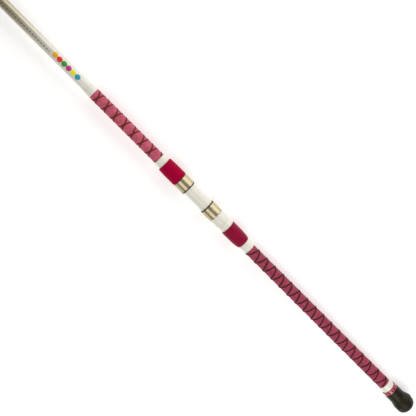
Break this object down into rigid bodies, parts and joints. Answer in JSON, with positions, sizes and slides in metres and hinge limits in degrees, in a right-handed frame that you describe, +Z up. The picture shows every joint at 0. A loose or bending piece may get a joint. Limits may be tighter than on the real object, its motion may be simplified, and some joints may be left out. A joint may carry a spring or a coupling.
{
  "type": "fishing rod butt section",
  "caption": "Butt section of a surf-casting rod: corded grips, pads, a pipe reel seat with a screw-locked sliding hood, a ferrule socket and a rubber butt cap.",
  "frame": {"origin": "on the rod's axis, midway between the mouths of the reel seat's two hoods", "axes": "+X along the rod towards the tip, -Z towards the reel's side, where the hoods' foot pockets are, +Z up"},
  "size_m": [1.247, 0.0412, 0.0453],
  "materials": {
    "blank_lacquer": "pearl white lacquer under clear coat, fading to beige towards the tip",
    "winding": "thread whipping under epoxy",
    "champagne_metal": "satin champagne anodised",
    "trim_ring": "gloss ivory",
    "shrink_sleeve": "crimson textured shrink sleeve",
    "cord": "dark brown, semi-gloss",
    "grip_foam": "fine-celled foam, satin",
    "black_rubber": "matte",
    "hood_cushion": "dark grey-brown",
    "seat_plastic": "gloss ivory",
    "arbor": "plain",
    "band": "crimson with diamond openings"
  },
  "bodies": {
    "rod": {"blank": "blank_lacquer", "ferrule_winding": "winding", "ferrule_ring": "champagne_metal", "winding_check": "trim_ring", "fore_grip_sleeve": "shrink_sleeve", "fore_cord_right": "cord", "fore_cord_left": "cord", "fore_collar": "trim_ring", "fore_grip_pad": "grip_foam", "hood_washer": "black_rubber", "fixed_hood": "champagne_metal", "fixed_hood_liner": "hood_cushion", "seat_barrel": "seat_plastic", "seat_arbor_front": "arbor", "seat_arbor_middle": "arbor", "seat_arbor_rear": "arbor", "seat_collar": "trim_ring", "rear_grip_pad": "grip_foam", "rear_collar": "trim_ring", "rear_grip_sleeve": "shrink_sleeve", "rear_cord_right": "cord", "rear_cord_left": "cord", "butt_collar": "trim_ring", "butt_cap": "black_rubber", "butt_cap_band": "band", "butt_plug": "arbor"},
    "sliding_hood": {"sliding_hood": "champagne_metal", "sliding_hood_liner": "hood_cushion"},
    "lock_nut": {"lock_nut": "seat_plastic"}
  },
  "joints": [
    {"name": "hood_slide", "type": "slide", "parent": "rod", "child": "sliding_hood", "axis": [1, 0, 0], "range_m": [0, 0.0121]},
    {"name": "nut_turn", "type": "hinge", "parent": "sliding_hood", "child": "lock_nut", "pos_m": [-0.062, 0, 0], "axis": [1, 0, 0], "range_deg": [0, 1440]}
  ],
  "couplings": [
    {"joint": "hood_slide", "follows": "nut_turn", "m_per_rad": 0.00047746}
  ]
}
